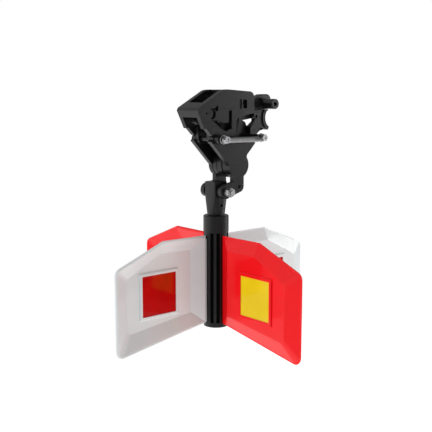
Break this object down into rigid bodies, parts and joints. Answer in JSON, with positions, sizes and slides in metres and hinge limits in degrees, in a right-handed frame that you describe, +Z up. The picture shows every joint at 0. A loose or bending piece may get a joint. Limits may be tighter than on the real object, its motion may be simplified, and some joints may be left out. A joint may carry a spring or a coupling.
{
  "type": "wind-turned overhead line marker",
  "caption": "Hanging line marker: dished red and white vanes with square reflectors spin on a hub under a swivel neck and a sprung clamp that grips an overhead conductor.",
  "frame": {"origin": "middle of the conductor seat in the jaw, on the conductor axis", "axes": "+Y along the gripped conductor, +Z up along the hanging marker, +X out of the open mouth of the jaw"},
  "size_m": [0.38, 0.38, 0.3954],
  "materials": {
    "black_nylon": "moulded, fine grain, UV-stable black",
    "black_rubber": "matt moulded rubber",
    "zinc_steel": "bright zinc plated",
    "spring_steel": "drawn stainless spring wire",
    "natural_nylon": "turned natural nylon",
    "white_vane": "satin moulded white",
    "red_vane": "glossy moulded signal red",
    "red_lens": "moulded red reflector with a fine prism back",
    "yellow_lens": "moulded yellow reflector with a fine prism back"
  },
  "bodies": {
    "jaw": {"jaw_plate": "black_nylon", "seat_liner": "black_rubber", "right_spool": "black_nylon", "right_post_screw": "zinc_steel", "right_post_nut": "zinc_steel"},
    "body": {"near_plate": "black_nylon", "far_plate": "black_nylon", "hinge_pin": "zinc_steel", "hinge_washers": "natural_nylon", "hood_pivot_pin": "black_nylon", "left_spool": "black_nylon", "left_post_screw": "zinc_steel", "neck_bolt": "zinc_steel", "neck_washers": "zinc_steel", "neck_nut": "zinc_steel", "extension_spring": "spring_steel"},
    "hood": {"hood_shell": "black_nylon", "keeper_pin": "zinc_steel"},
    "latch": {"latch_lever": "black_nylon", "latch_pin": "black_nylon"},
    "keeper": {"keeper": "black_nylon", "guide_tube": "black_nylon"},
    "neck": {"neck_socket": "black_nylon", "spindle": "zinc_steel", "spindle_cross_pin": "zinc_steel", "thrust_washer": "black_nylon", "retaining_washer": "zinc_steel", "retaining_screw": "zinc_steel"},
    "rotor": {"hub_tube": "black_nylon", "hub_end_cap": "black_nylon", "upper_bush": "natural_nylon", "lower_bush": "natural_nylon", "vane_white_left": "white_vane", "vane_white_right": "white_vane", "vane_red_front": "red_vane", "vane_red_back": "red_vane", "reflector_red_left": "red_lens", "reflector_red_right": "red_lens", "reflector_yellow_front": "yellow_lens", "reflector_yellow_back": "yellow_lens"}
  },
  "joints": [
    {"name": "jaw_open", "type": "hinge", "parent": "jaw", "child": "body", "pos_m": [-0.0834, 0, -0.0723], "axis": [0, -1, 0], "range_deg": [0, 10], "stiffness_Nm_per_rad": 4, "deforming": ["extension_spring"]},
    {"name": "hood_lift", "type": "hinge", "parent": "body", "child": "hood", "pos_m": [-0.1284, 0, -0.0303], "axis": [0, -1, 0], "range_deg": [0, 20]},
    {"name": "latch_swing", "type": "hinge", "parent": "hood", "child": "latch", "pos_m": [-0.1389, 0, 0.0081], "axis": [0, -1, 0], "range_deg": [0, 12]},
    {"name": "keeper_lift", "type": "hinge", "parent": "hood", "child": "keeper", "pos_m": [-0.0594, 0, 0.0227], "axis": [0, -1, 0], "range_deg": [0, 35]},
    {"name": "neck_swing", "type": "hinge", "parent": "body", "child": "neck", "pos_m": [-0.1094, 0, -0.1121], "axis": [0, 1, 0], "range_deg": [-35, 35]},
    {"name": "rotor_spin", "type": "hinge", "parent": "neck", "child": "rotor", "pos_m": [-0.1094, 0, -0.2423], "axis": [0, 0, 1], "continuous": true}
  ]
}
